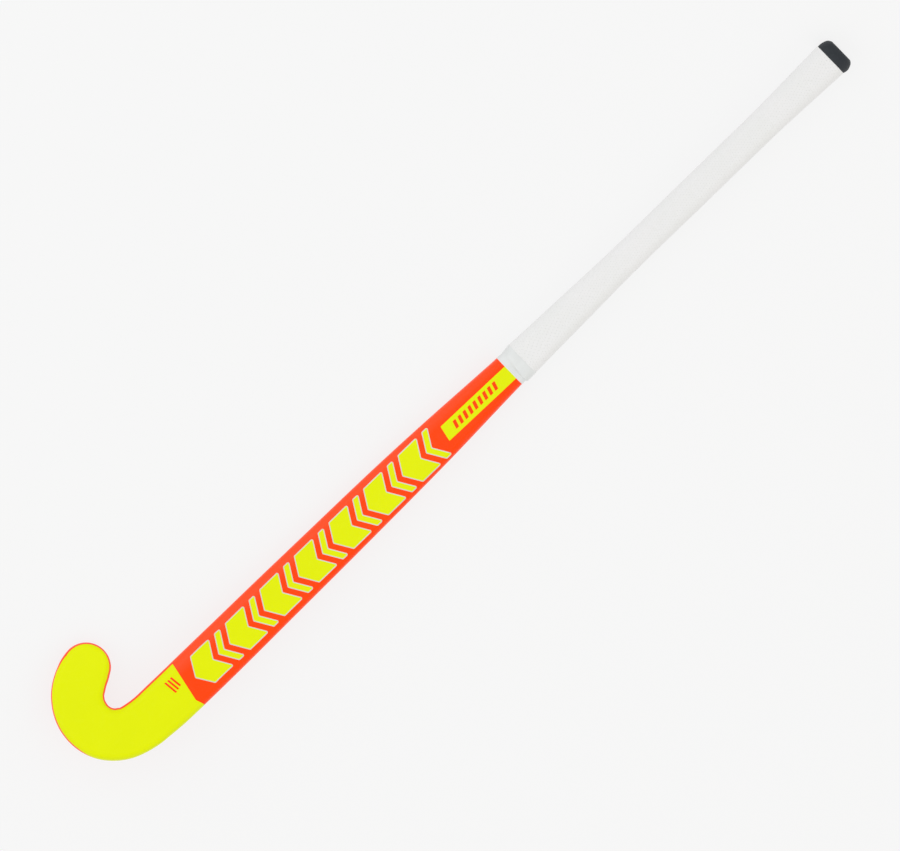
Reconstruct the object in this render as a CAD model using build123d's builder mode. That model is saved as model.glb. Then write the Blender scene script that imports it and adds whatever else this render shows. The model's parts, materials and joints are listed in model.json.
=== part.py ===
"""Field hockey stick: moulded composite head and shaft with its inner tubes, cores, grip and butt cap.

The stick lies on its back with the flat playing face up, +Z up, its length along X and the
hook at the -X end. The origin is at the middle of the bounding box, on the floor.

Everything is laid out from the flat face of the head, which is the local XY plane: stations
run along the shaft from the outermost point of the hook, and the toe side is local +Y.
"""

import os
from math import cos, radians, sin, sqrt

from build123d import *

# ---- The stick at rest on its back: it rolls until the toe touches, and the belly of the bow and the
# finishing tape carry the rest, so the face leans towards the toe and down towards the hook ----
ROLL = -19.74
PITCH = 7.99
REST_SHIFT = (-461.8, -25.4, 52.84)

# ---- Overall shape: straight head, one long arc, straight handle ----
BUTT_STATION = 926.7
BOW_START = 115.0
BOW_END = 365.0
BOW_TURN = 8.6

# Station, half-width on the heel side, half-width on the toe side, thickness
SHAFT_RIBS = [
    (BUTT_STATION, 14.0, 14.0, 23.1),
    (914.0, 14.0, 14.0, 23.1),
    (896.0, 13.95, 13.95, 23.1),
    (878.0, 13.75, 13.75, 23.1),
    (860.0, 13.4, 13.4, 23.0),
    (838.0, 12.8, 12.8, 22.9),
    (806.0, 12.6, 12.6, 22.8),
    (728.0, 12.6, 12.6, 22.8),
    (650.0, 12.6, 12.6, 22.8),
    (609.0, 13.6, 13.6, 22.8),
    (555.0, 14.95, 14.95, 22.7),
    (502.0, 16.65, 16.85, 22.5),
    (430.0, 19.7, 20.1, 22.2),
    (358.0, 21.5, 22.2, 21.9),
    (287.0, 22.7, 22.9, 21.6),
    (215.0, 23.6, 23.5, 21.3),
    (160.0, 24.3, 23.7, 21.0),
    (125.0, 24.4, 23.9, 20.8),
    (100.0, 24.2, 23.9, 20.6),
    (80.0, 23.6, 24.1, 20.5),
    (66.0, 22.5, 24.6, 20.5),
]

# The hook fans round one centre: angle, inner radius, outer radius
HOOK_CENTRE = (55.5, 35.5)
HOOK_RIBS = [
    (270, 9.1, 56.9),
    (250, 8.2, 55.1),
    (230, 7.9, 54.9),
    (210, 7.7, 55.4),
    (190, 7.6, 55.7),
    (170, 7.6, 55.9),
    (150, 7.9, 56.2),
    (130, 8.7, 57.0),
    (110, 9.8, 58.2),
]
HEEL_THICKNESS = 20.5

# The toe runs straight on from the hook and ends in a round bulb
TOE_ANGLE = HOOK_RIBS[-1][0] - 90
TOE_THICKNESS = 19.0
TOE_NECK = (8.0, 11.7, 58.5)
BULB_RADIUS = 22.3
BULB_REACH = 15.0
BULB_OFFSET = 35.25
BULB_ANGLES = (0, 20, 38, 54, 67, 77, 84)

# ---- Section: flat face, elliptical edges on the toe side and the heel side, half-ellipse back ----
SHAFT_EDGES = (7.5, 5.0)
EDGE_BULB = 6.5
EDGE_DEPTH = 7.5
HANDLE_EDGE = 8.0
HANDLE_EDGE_DEPTH = 10.0
HANDLE_BLEND = (400.0, 560.0)

# ---- Walls and layers ----
WALL = 2.0
TUBE_WALL = 1.2
TUBE_START = 150.0
TUBE_END = 850.0
TUBE_END_WALL = 1.5
FILM = 0.2
FACE_SKIM = 0.02

GRIP_START = 519.0
BACKING = 1.0
GRIP = 1.65
TAPE = 0.15
TAPE_START = 514.0
TAPE_END = 530.0

# ---- Butt cap ----
CAP_START = 914.4
# Station, growth over the handle, and lean towards the heel side
CAP_RIBS = [
    (CAP_START, 2.5, 0.3),
    (916.5, 2.85, 0.55),
    (919.0, 2.8, 0.8),
    (922.0, 2.0, 0.8),
    (924.3, 0.8, 0.85),
    (925.8, -0.8, 0.95),
    (BUTT_STATION, -2.5, 1.1),
]
SKIRT_START = 884.0
SKIRT_FLARE = {878.0: 0.2, 896.0: 0.6, 914.0: 1.05, BUTT_STATION: 1.05}
HANDLE_END = 921.0

# ---- Graphic films, let into the skin under the lacquer; points are (station, towards the toe side) ----
FILM_REACH = 3.0
HEAD_FILM_MARGIN = 1.9
HEAD_FILM_OUTER_MARGIN = 0.9
HEAD_FILM_WRAP = 3.0
HEAD_FILM_WRAP_ANGLE = 200
HEAD_FILM_DEPTH = 7.0
HEAD_FILM_INNER_START = [(100.0, 21.8), (80.0, 22.1), (66.0, 22.7)]
HEAD_FILM_END = [(110.2, -30.0), (110.2, -23.8), (107.1, -15.8), (114.7, 21.9)]

GRAPHIC_BAND = (120.4, 426.7)
GRAPHIC_LOW = -17.4
GRAPHIC_HIGH = 15.7
CHEVRON_PAIRS = 7
CHEVRON_DEPTH = 10.0
CHEVRON_GAP = 6.0
NARROW_CHEVRON = 7.5
CHEVRON_CORNER = 1.5

BAR_FILM = [(432.1, -7.4), (514.0, -8.8), (514.0, 6.0), (435.1, 7.3)]

RESTING = Location(REST_SHIFT) * Location((0, 0, 0), (ROLL, PITCH, 0))


# ---- Stations, and the planes that stand at them ----
def lying(plane):
    """The same plane, carried from the head face's frame to where the stick lies."""
    return Plane(RESTING * plane.location)


def bow_path(station):
    """Place on the face's centre line, and its slope in radians, at one station."""
    turn = radians(BOW_TURN)
    radius = (BOW_END - BOW_START) / turn
    slope = min(max((station - BOW_START) / radius, 0.0), turn)
    straight = max(station - BOW_END, 0.0)
    x = min(station, BOW_START) + radius * sin(slope) + straight * cos(slope)
    z = radius * (1 - cos(slope)) + straight * sin(slope)
    return x, z, slope


def across(station):
    """Plane across the shaft: local x towards the heel side, local y out of the face."""
    x, z, slope = bow_path(station)
    plane = Plane(origin=(x, 0, z), x_dir=(0, -1, 0), z_dir=(-cos(slope), 0, -sin(slope)))
    return lying(plane)


def on_face(station):
    """Plane that touches the face: local x towards the butt, local y towards the toe side."""
    x, z, slope = bow_path(station)
    plane = Plane(origin=(x, 0, z), x_dir=(cos(slope), 0, sin(slope)), z_dir=(-sin(slope), 0, cos(slope)))
    return lying(plane)


# ---- Ribs: the closed sections that the outer surfaces are lofted through ----
def rib(plane, low, high, thickness, grow=0.0, edges=SHAFT_EDGES, depth=EDGE_DEPTH, drop=0.0):
    """Section from the toe-side or inner edge (low) to the heel-side or outer edge (high)."""
    low = low - grow
    high = high + grow
    top = grow - drop
    left = edges[0] + grow
    right = edges[1] + grow
    rise = depth + top
    fall = thickness - depth + grow
    half = (high - low) / 2
    with BuildSketch(plane) as section:
        with BuildLine():
            Line((low + left, top), (high - right, top))
            EllipticalCenterArc((high - right, -depth), right, rise, start_angle=0, arc_size=90)
            EllipticalCenterArc((low + half, -depth), half, fall, start_angle=180, arc_size=180)
            EllipticalCenterArc((low + left, -depth), left, rise, start_angle=90, arc_size=90)
        make_face()
    return section.sketch


def shaft_ribs(grow, flare=0.0):
    """Ribs of the shaft, from the butt to the head; flare is the share of the cap skirt's flare."""
    ribs = []
    for station, heel, toe, thickness in SHAFT_RIBS:
        share = min(max((station - HANDLE_BLEND[0]) / (HANDLE_BLEND[1] - HANDLE_BLEND[0]), 0.0), 1.0)
        edges = [edge + (HANDLE_EDGE - edge) * share for edge in SHAFT_EDGES]
        depth = EDGE_DEPTH + (HANDLE_EDGE_DEPTH - EDGE_DEPTH) * share
        layer = grow + flare * SKIRT_FLARE.get(station, 0.0)
        ribs.append(rib(across(station), -toe, heel, thickness, layer, edges, depth))
    return ribs


def hook_point(angle, radius):
    """Point in plan on a ray from the hook's centre."""
    return HOOK_CENTRE[0] + radius * cos(radians(angle)), HOOK_CENTRE[1] + radius * sin(radians(angle))


def toe_point(reach, offset):
    """Point in plan, reach along the toe and offset across it, from the hook's centre."""
    along = radians(TOE_ANGLE)
    x = HOOK_CENTRE[0] + reach * cos(along) - offset * sin(along)
    y = HOOK_CENTRE[1] + reach * sin(along) + offset * cos(along)
    return x, y


def hook_ribs(grow):
    """Ribs that fan round the inside of the hook."""
    ribs = []
    first = HOOK_RIBS[0][0]
    last = HOOK_RIBS[-1][0]
    for angle, inner, outer in HOOK_RIBS:
        along = (cos(radians(angle)), sin(radians(angle)), 0)
        forward = (sin(radians(angle)), -cos(radians(angle)), 0)
        plane = lying(Plane(origin=(*HOOK_CENTRE, 0), x_dir=along, z_dir=forward))
        share = (first - angle) / (first - last)
        thickness = HEEL_THICKNESS + (TOE_THICKNESS - HEEL_THICKNESS) * share
        ribs.append(rib(plane, inner, outer, thickness, grow))
    return ribs


def toe_rib(reach, low, high, grow):
    """Rib across the toe, thinned where it nears the tip so that the bulb closes round."""
    along = (-sin(radians(TOE_ANGLE)), cos(radians(TOE_ANGLE)), 0)
    forward = (cos(radians(TOE_ANGLE)), sin(radians(TOE_ANGLE)), 0)
    plane = lying(Plane(origin=(*toe_point(reach, 0), 0), x_dir=along, z_dir=forward))
    to_tip = BULB_REACH + BULB_RADIUS + grow - reach
    edge = min(EDGE_BULB + grow, 0.42 * (high - low))
    top = (EDGE_DEPTH + grow) * sqrt(1 - max(1 - to_tip / (EDGE_BULB + grow), 0.0) ** 2)
    back = (TOE_THICKNESS - EDGE_DEPTH + grow) * sqrt(1 - max(1 - to_tip / (BULB_RADIUS + grow), 0.0) ** 2)
    return rib(plane, low, high, EDGE_DEPTH + back, 0.0, (edge, edge), EDGE_DEPTH, EDGE_DEPTH - top)


def toe_ribs(grow):
    """Ribs of the toe: its neck, then the bulb."""
    reach, low, high = TOE_NECK
    ribs = [toe_rib(reach, low - grow, high + grow, grow)]
    for angle in BULB_ANGLES:
        reach = BULB_REACH + (BULB_RADIUS + grow) * sin(radians(angle))
        half = (BULB_RADIUS + grow) * cos(radians(angle))
        ribs.append(toe_rib(reach, BULB_OFFSET - half, BULB_OFFSET + half, grow))
    return ribs


def whole_ribs(grow):
    """Ribs of the stick from the butt to the tip of the toe, moved out by grow."""
    return shaft_ribs(grow) + hook_ribs(grow) + toe_ribs(grow)


# ---- Reference solids that the pieces are cut from ----
def stretch(ribs, start, end):
    """Solid through the given ribs, kept between two stations."""
    with BuildPart() as length:
        loft(sections=ribs)
        split(bisect_by=across(start), keep=Keep.BOTTOM)
        split(bisect_by=across(end), keep=Keep.TOP)
    return length.part


with BuildPart() as envelope:
    loft(sections=whole_ribs(0.0))
    split(bisect_by=across(HANDLE_END), keep=Keep.TOP)

with BuildPart() as cavity:
    loft(sections=whole_ribs(-WALL))
    split(bisect_by=across(HANDLE_END), keep=Keep.TOP)

with BuildPart() as film_layer:
    add(envelope.part)
    loft(sections=whole_ribs(-FILM), mode=Mode.SUBTRACT)


# ---- Graphic films ----
def head_film_outline():
    """Points round the head film: along the inner edge, round the bulb, back along the outer edge."""
    points = [HEAD_FILM_END[-1], *HEAD_FILM_INNER_START]
    for angle, inner, _ in HOOK_RIBS:
        points.append(hook_point(angle, inner + HEAD_FILM_MARGIN))
    for angle in range(-80, 81, 20):
        reach = BULB_REACH + (BULB_RADIUS - HEAD_FILM_MARGIN) * cos(radians(angle))
        offset = BULB_OFFSET + (BULB_RADIUS - HEAD_FILM_MARGIN) * sin(radians(angle))
        points.append(toe_point(reach, offset))
    for angle, _, outer in reversed(HOOK_RIBS):
        past_edge = HEAD_FILM_WRAP if angle > HEAD_FILM_WRAP_ANGLE else -HEAD_FILM_OUTER_MARGIN
        points.append(hook_point(angle, outer + past_edge))
    points.append(HEAD_FILM_END[0])
    return points


with BuildPart() as head_pocket:
    with BuildSketch(lying(Plane.XY.offset(-HEAD_FILM_DEPTH))):
        with BuildLine():
            Spline(head_film_outline())
            Polyline(HEAD_FILM_END)
        make_face()
    extrude(amount=HEAD_FILM_DEPTH + 1)
    add(film_layer.part, mode=Mode.INTERSECT)

with BuildPart() as head_film:
    add(head_pocket.part)
    split(bisect_by=lying(Plane.XY.offset(-FACE_SKIM)), keep=Keep.BOTTOM)
head_film.part.label = "head_film"

with BuildPart() as shaft_graphic:
    pitch = (GRAPHIC_BAND[1] - GRAPHIC_BAND[0] - CHEVRON_DEPTH + CHEVRON_GAP) / CHEVRON_PAIRS
    wide = pitch - NARROW_CHEVRON - 2 * CHEVRON_GAP
    chevrons = []
    for index in range(CHEVRON_PAIRS):
        start = GRAPHIC_BAND[0] + pitch * index
        chevrons.append((start, wide))
        chevrons.append((start + wide + CHEVRON_GAP, NARROW_CHEVRON))
    for start, width in chevrons:
        middle = start + (CHEVRON_DEPTH + width) / 2
        nose = start - middle
        middle_side = (GRAPHIC_LOW + GRAPHIC_HIGH) / 2
        with BuildSketch(on_face(middle)) as chevron:
            with BuildLine():
                Polyline(
                    (nose, middle_side),
                    (nose + CHEVRON_DEPTH, GRAPHIC_LOW),
                    (nose + CHEVRON_DEPTH + width, GRAPHIC_LOW),
                    (nose + width, middle_side),
                    (nose + CHEVRON_DEPTH + width, GRAPHIC_HIGH),
                    (nose + CHEVRON_DEPTH, GRAPHIC_HIGH),
                    close=True,
                )
            make_face()
            fillet(chevron.vertices(), CHEVRON_CORNER)
        extrude(amount=FILM_REACH, both=True)
    add(film_layer.part, mode=Mode.INTERSECT)
shaft_graphic.part.label = "shaft_graphic"

with BuildPart() as bar_film:
    straight_shaft = on_face(BAR_FILM[0][0])
    with BuildSketch(straight_shaft):
        with BuildLine():
            Polyline([(station - BAR_FILM[0][0], side) for station, side in BAR_FILM], close=True)
        make_face()
    extrude(amount=FILM_REACH, both=True)
    add(film_layer.part, mode=Mode.INTERSECT)
bar_film.part.label = "bar_film"


# ---- Composite body: outer laminate, foam core of the head, twin inner tubes, plug of the handle ----
with BuildPart() as outer_laminate:
    add(envelope.part)
    add(cavity.part, mode=Mode.SUBTRACT)
    add([head_pocket.part, shaft_graphic.part, bar_film.part], mode=Mode.SUBTRACT)
outer_laminate.part.label = "outer_laminate"

with BuildPart() as head_core:
    add(cavity.part)
    split(bisect_by=across(TUBE_START), keep=Keep.TOP)
head_core.part.label = "head_core"

tube_bore = stretch(shaft_ribs(-WALL - TUBE_WALL), TUBE_START + TUBE_END_WALL, TUBE_END)
tubes = {}
for side, sign in (("toe", 1), ("heel", -1)):
    with BuildPart() as bore:
        add(tube_bore)
        split(bisect_by=lying(Plane(origin=(0, sign * TUBE_WALL, 0), z_dir=(0, sign, 0))), keep=Keep.TOP)
    with BuildPart() as tube:
        add(cavity.part)
        split(bisect_by=across(TUBE_START), keep=Keep.BOTTOM)
        split(bisect_by=across(TUBE_END), keep=Keep.TOP)
        split(bisect_by=lying(Plane(origin=(0, 0, 0), z_dir=(0, sign, 0))), keep=Keep.TOP)
        add(bore.part, mode=Mode.SUBTRACT)
    tube.part.label = f"inner_tube_{side}_side"
    tubes[side] = tube.part

with BuildPart() as handle_plug:
    add(cavity.part)
    split(bisect_by=across(TUBE_END), keep=Keep.BOTTOM)
handle_plug.part.label = "handle_plug"

# ---- Butt cap: a rounded end with a thin skirt that slips over the handle under the grip ----
heel_half, toe_half, butt_thickness = SHAFT_RIBS[0][1:]
with BuildPart() as end_cap:
    for station, proud, lean in CAP_RIBS:
        edges = (HANDLE_EDGE, HANDLE_EDGE)
        low, high = lean - toe_half, lean + heel_half
        cap_rib = rib(across(station), low, high, butt_thickness, proud, edges, HANDLE_EDGE_DEPTH)
        add(cap_rib)
    loft()
    add(stretch(shaft_ribs(0.0, 1.0), SKIRT_START, CAP_START))
    add(envelope.part, mode=Mode.SUBTRACT)
end_cap.part.label = "end_cap"

# ---- Grip: cushion backing under a perforated outer wrap, and the tape that finishes it ----
with BuildPart() as grip_backing:
    add(stretch(shaft_ribs(BACKING, 1.0), GRIP_START, CAP_START))
    add([envelope.part, end_cap.part], mode=Mode.SUBTRACT)
grip_backing.part.label = "grip_backing"

with BuildPart() as grip_wrap:
    add(stretch(shaft_ribs(GRIP, 1.0), GRIP_START, CAP_START))
    add(stretch(shaft_ribs(BACKING, 1.0), GRIP_START, CAP_START), mode=Mode.SUBTRACT)
grip_wrap.part.label = "grip_wrap"

with BuildPart() as finishing_tape:
    add(stretch(shaft_ribs(GRIP + TAPE), GRIP_START - TAPE, TAPE_END))
    add(stretch(shaft_ribs(GRIP), GRIP_START, TAPE_END), mode=Mode.SUBTRACT)
    add(stretch(shaft_ribs(TAPE), TAPE_START, GRIP_START - TAPE))
    add(envelope.part, mode=Mode.SUBTRACT)
finishing_tape.part.label = "finishing_tape"

# ---- One STEP file for each piece ----
pieces = [
    outer_laminate.part,
    head_core.part,
    tubes["toe"],
    tubes["heel"],
    handle_plug.part,
    end_cap.part,
    grip_backing.part,
    grip_wrap.part,
    finishing_tape.part,
    head_film.part,
    shaft_graphic.part,
    bar_film.part,
]
os.makedirs("parts", exist_ok=True)
for piece in pieces:
    export_step(piece, f"parts/{piece.label}.step")
    print(piece.label, round(piece.volume), len(piece.solids()), piece.is_valid)
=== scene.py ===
"""Field hockey stick: lacquered composite body, yellow films, perforated wrap grip and rubber butt cap.

Lengths in the tables are millimetres in the head face's own frame: stations run along the shaft from the
outermost point of the hook, the toe side is +y, and z stands out of the flat playing face.
"""

import json
from math import asin, ceil, cos, pi, radians, sin, sqrt

import bmesh
import bpy
import numpy as np
from mathutils import Matrix, Vector


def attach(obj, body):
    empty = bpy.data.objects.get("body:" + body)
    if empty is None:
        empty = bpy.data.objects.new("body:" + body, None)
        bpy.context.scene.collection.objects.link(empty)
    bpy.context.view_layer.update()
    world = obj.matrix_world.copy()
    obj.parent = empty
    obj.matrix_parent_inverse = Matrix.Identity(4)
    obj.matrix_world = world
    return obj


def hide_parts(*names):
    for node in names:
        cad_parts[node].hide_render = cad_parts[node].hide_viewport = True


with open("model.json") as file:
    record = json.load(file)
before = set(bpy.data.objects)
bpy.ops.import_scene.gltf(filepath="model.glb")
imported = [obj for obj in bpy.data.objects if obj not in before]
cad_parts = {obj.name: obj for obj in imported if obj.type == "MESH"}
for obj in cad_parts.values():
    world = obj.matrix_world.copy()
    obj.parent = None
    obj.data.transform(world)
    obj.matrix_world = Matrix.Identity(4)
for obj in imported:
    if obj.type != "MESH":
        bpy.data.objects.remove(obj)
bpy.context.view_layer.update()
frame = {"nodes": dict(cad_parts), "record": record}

MM = 0.001

# ---- The head face's frame, read from the two mounts that stand on it ----
MOUNTS = {mount["name"]: mount for mount in frame["record"]["mounts"]}
FACE_MOUNT_X = 62.0
FACE_SKIM = 0.02
FACE_NORMAL = np.array(MOUNTS["playing_face"]["axis"], float)
HANDLE_AXIS = np.array(MOUNTS["butt_end"]["axis"], float)
BOW_TURN = asin(HANDLE_AXIS @ FACE_NORMAL)
ALONG = HANDLE_AXIS - (HANDLE_AXIS @ FACE_NORMAL) * FACE_NORMAL
ALONG = ALONG / np.linalg.norm(ALONG)
TOEWARD = np.cross(FACE_NORMAL, ALONG)
AXES = np.array([ALONG, TOEWARD, FACE_NORMAL])
FACE_ORIGIN = np.array(MOUNTS["playing_face"]["pos_m"], float)
FACE_ORIGIN = FACE_ORIGIN - FACE_MOUNT_X * MM * ALONG + FACE_SKIM * MM * FACE_NORMAL


def placed(points):
    """Points of the head face's frame, in millimetres, carried to the row frame in metres."""
    return FACE_ORIGIN + MM * (np.asarray(points, float) @ AXES)


# ---- Overall shape ----
BUTT = 926.7
BOW_START = 115.0
BOW_END = 365.0

# Station, half-width on the heel side, half-width on the toe side, thickness
SHAFT_RIBS = [
    (BUTT, 14.0, 14.0, 23.1),
    (914.0, 14.0, 14.0, 23.1),
    (896.0, 13.95, 13.95, 23.1),
    (878.0, 13.75, 13.75, 23.1),
    (860.0, 13.4, 13.4, 23.0),
    (838.0, 12.8, 12.8, 22.9),
    (806.0, 12.6, 12.6, 22.8),
    (728.0, 12.6, 12.6, 22.8),
    (650.0, 12.6, 12.6, 22.8),
    (609.0, 13.6, 13.6, 22.8),
    (555.0, 14.95, 14.95, 22.7),
    (502.0, 16.65, 16.85, 22.5),
    (430.0, 19.7, 20.1, 22.2),
    (358.0, 21.5, 22.2, 21.9),
    (287.0, 22.7, 22.9, 21.6),
    (215.0, 23.6, 23.5, 21.3),
    (160.0, 24.3, 23.7, 21.0),
    (125.0, 24.4, 23.9, 20.8),
    (100.0, 24.2, 23.9, 20.6),
    (80.0, 23.6, 24.1, 20.5),
    (66.0, 22.5, 24.6, 20.5),
]
SKIRT_FLARE = {878.0: 0.2, 896.0: 0.6, 914.0: 1.05, BUTT: 1.05}

# The hook fans round one centre: angle, inner radius, outer radius
HOOK_CENTRE = np.array([55.5, 35.5, 0.0])
HOOK_MIDDLE = 32.0
HOOK_RIBS = [
    (270, 9.1, 56.9),
    (250, 8.2, 55.1),
    (230, 7.9, 54.9),
    (210, 7.7, 55.4),
    (190, 7.6, 55.7),
    (170, 7.6, 55.9),
    (150, 7.9, 56.2),
    (130, 8.7, 57.0),
    (120, 9.2, 57.55),
    (110, 9.8, 58.2),
]
HEEL_THICKNESS = 20.5
TOE_THICKNESS = 19.0
TOE_ANGLE = radians(HOOK_RIBS[-1][0] - 90)
# The neck of the toe: reach from the hook, inner edge, outer edge
TOE_NECK = [
    (4.0, 10.7, 58.4),
    (8.0, 11.6, 58.6),
    (11.5, 12.0, 58.45),
    (15.0, 12.5, 58.0),
    (18.9, 13.4, 57.25),
]
BULB_RADIUS = 22.3
BULB_REACH = 15.0
BULB_OFFSET = 35.25
BULB_ANGLES = (20, 38, 54, 67, 77, 84)

# Section: flat face, elliptical edges on the toe side and the heel side, half-ellipse back
SHAFT_EDGES = (7.5, 5.0)
EDGE_DEPTH = 7.5
BULB_EDGE = 6.5
HANDLE_EDGE = 8.0
HANDLE_EDGE_DEPTH = 10.0
HANDLE_BLEND = (400.0, 560.0)
# Widest either edge may be near the tip of the toe, as a share of the section
TIP_EDGE_SHARE = 0.42

# ---- Layers ----
WALL = 2.0
HANDLE_END = 921.0
BACKING = 1.0
GRIP = 1.65
TAPE = 0.15
CLEARANCE = 0.02


# ---- Ribs: sections at places along the stick, each moved out by grow ----
def bow_path(station):
    """Place on the face's centre line, and its slope, at one station."""
    radius = (BOW_END - BOW_START) / BOW_TURN
    slope = min(max((station - BOW_START) / radius, 0.0), BOW_TURN)
    straight = max(station - BOW_END, 0.0)
    x = min(station, BOW_START) + radius * sin(slope) + straight * cos(slope)
    z = radius * (1 - cos(slope)) + straight * sin(slope)
    return np.array([x, 0.0, z]), slope


def rib(place, origin, across, out, low, high, edges, depth, rise, fall):
    """One section: place along the stick, axes, two edges, and heights about the ellipses' centres."""
    return {
        "place": place,
        "origin": np.array(origin, float),
        "across": np.array(across, float),
        "out": np.array(out, float),
        "low": low,
        "high": high,
        "left": edges[0],
        "right": edges[1],
        "depth": depth,
        "rise": rise,
        "fall": fall,
    }


def ribs_of(grow):
    """Every rib from the butt to the tip of the toe."""
    ribs = []
    for station, heel, toe, thickness in SHAFT_RIBS:
        share = min(max((station - HANDLE_BLEND[0]) / (HANDLE_BLEND[1] - HANDLE_BLEND[0]), 0.0), 1.0)
        edges = [edge + (HANDLE_EDGE - edge) * share + grow for edge in SHAFT_EDGES]
        depth = EDGE_DEPTH + (HANDLE_EDGE_DEPTH - EDGE_DEPTH) * share
        origin, slope = bow_path(station)
        out = (-sin(slope), 0, cos(slope))
        rise, fall = depth + grow, thickness - depth + grow
        low, high = -toe - grow, heel + grow
        ribs.append(rib(BUTT - station, origin, (0, -1, 0), out, low, high, edges, depth, rise, fall))
    start = BUTT - HOOK_CENTRE[0]
    first, last = HOOK_RIBS[0][0], HOOK_RIBS[-1][0]
    for angle, inner, outer in HOOK_RIBS:
        ray = (cos(radians(angle)), sin(radians(angle)), 0)
        share = (first - angle) / (first - last)
        thickness = HEEL_THICKNESS + (TOE_THICKNESS - HEEL_THICKNESS) * share
        edges = [edge + grow for edge in SHAFT_EDGES]
        place = start + HOOK_MIDDLE * radians(first - angle)
        rise, fall = EDGE_DEPTH + grow, thickness - EDGE_DEPTH + grow
        low, high = inner - grow, outer + grow
        ribs.append(rib(place, HOOK_CENTRE, ray, (0, 0, 1), low, high, edges, EDGE_DEPTH, rise, fall))
    start = ribs[-1]["place"]
    crossings = []
    for reach, low, high in TOE_NECK:
        past = max(reach - BULB_REACH, 0.0)
        place = start + reach - past + BULB_RADIUS * asin(past / BULB_RADIUS)
        crossings.append((place, reach, low - grow, high + grow))
    for angle in BULB_ANGLES:
        radius = BULB_RADIUS + grow
        half = radius * cos(radians(angle))
        place = start + BULB_REACH + BULB_RADIUS * radians(angle)
        reach = BULB_REACH + radius * sin(radians(angle))
        crossings.append((place, reach, BULB_OFFSET - half, BULB_OFFSET + half))
    for place, reach, low, high in crossings:
        to_tip = BULB_REACH + BULB_RADIUS + grow - reach
        edge = min(BULB_EDGE + grow, TIP_EDGE_SHARE * (high - low))
        rise = (EDGE_DEPTH + grow) * sqrt(1 - max(1 - to_tip / (BULB_EDGE + grow), 0.0) ** 2)
        back = sqrt(1 - max(1 - to_tip / (BULB_RADIUS + grow), 0.0) ** 2)
        fall = (TOE_THICKNESS - EDGE_DEPTH + grow) * back
        origin = HOOK_CENTRE + reach * np.array([cos(TOE_ANGLE), sin(TOE_ANGLE), 0])
        ray = (-sin(TOE_ANGLE), cos(TOE_ANGLE), 0)
        ribs.append(rib(place, origin, ray, (0, 0, 1), low, high, (edge, edge), EDGE_DEPTH, rise, fall))
    return ribs


RIBS = ribs_of(0.0)
GROWN_RIBS = ribs_of(1.0)
PLACES = np.array([one["place"] for one in RIBS])
TOE_PLACE = PLACES[len(SHAFT_RIBS) + len(HOOK_RIBS) - 1]
HOOK_PLACE = BUTT - HOOK_CENTRE[0]
FLARES = np.zeros(len(RIBS))
FLARES[: len(SHAFT_RIBS)] = [SKIRT_FLARE.get(row[0], 0.0) for row in SHAFT_RIBS]


def curvature_matrix(knots):
    """Matrix from the values at the knots to the second derivatives of their natural cubic spline."""
    count = len(knots)
    gaps = np.diff(knots)
    left = np.eye(count)
    right = np.zeros((count, count))
    for i in range(1, count - 1):
        left[i, i - 1 : i + 2] = gaps[i - 1], 2 * (gaps[i - 1] + gaps[i]), gaps[i]
        right[i, i - 1 : i + 2] = 6 / gaps[i - 1], -6 / gaps[i - 1] - 6 / gaps[i], 6 / gaps[i]
    return np.linalg.solve(left, right)


CURVATURE = curvature_matrix(PLACES)


def rib_weights(place):
    """How much each rib counts at each place, on a cubic spline through the ribs."""
    place = np.clip(place, PLACES[0], PLACES[-1])
    i = np.clip(np.searchsorted(PLACES, place) - 1, 0, len(PLACES) - 2)
    gap = PLACES[i + 1] - PLACES[i]
    b = (place - PLACES[i]) / gap
    a = 1 - b
    weights = CURVATURE[i] * ((a**3 - a) * gap**2 / 6)[:, None]
    weights += CURVATURE[i + 1] * ((b**3 - b) * gap**2 / 6)[:, None]
    rows = np.arange(len(place))
    weights[rows, i] += a
    weights[rows, i + 1] += b
    return weights


def section(one, turn):
    """Points round one rib: toe or inner edge up to turn 1, face to 2, heel edge to 3, back to 4."""
    low, high, left, right = one["low"], one["high"], one["left"], one["right"]
    half = (high - low) / 2
    rise, fall = one["rise"], one["fall"]
    parts = [turn < 1, turn < 2, turn < 3]
    first, third, back = turn * pi / 2, (turn - 2) * pi / 2, (turn - 3) * pi
    toe_x = low + left - left * np.cos(first)
    face_x = low + left + (turn - 1) * (high - right - low - left)
    heel_x = high - right + right * np.sin(third)
    x = np.select(parts, [toe_x, face_x, heel_x], low + half + half * np.cos(back))
    z = np.select(parts, [rise * np.sin(first), rise, rise * np.cos(third)], -fall * np.sin(back))
    return one["origin"] + x[:, None] * one["across"] + (z - one["depth"])[:, None] * one["out"]


def skin(place, turn, grow, flare=0.0):
    """Points of the stick's surface, moved out by grow; flare is the share of the cap skirt's flare."""
    place, turn, grow = (x.ravel().astype(float) for x in np.broadcast_arrays(place, turn, grow))
    turn = turn % 4
    weights = rib_weights(place)
    points = np.zeros((len(place), 3))
    for k, still in enumerate(RIBS):
        used = np.abs(weights[:, k]) > 1e-9
        here = section(still, turn[used])
        outward = section(GROWN_RIBS[k], turn[used]) - here
        layer = (grow[used] + flare * FLARES[k])[:, None]
        points[used] += weights[used, k, None] * (here + layer * outward)
    return placed(points)


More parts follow.
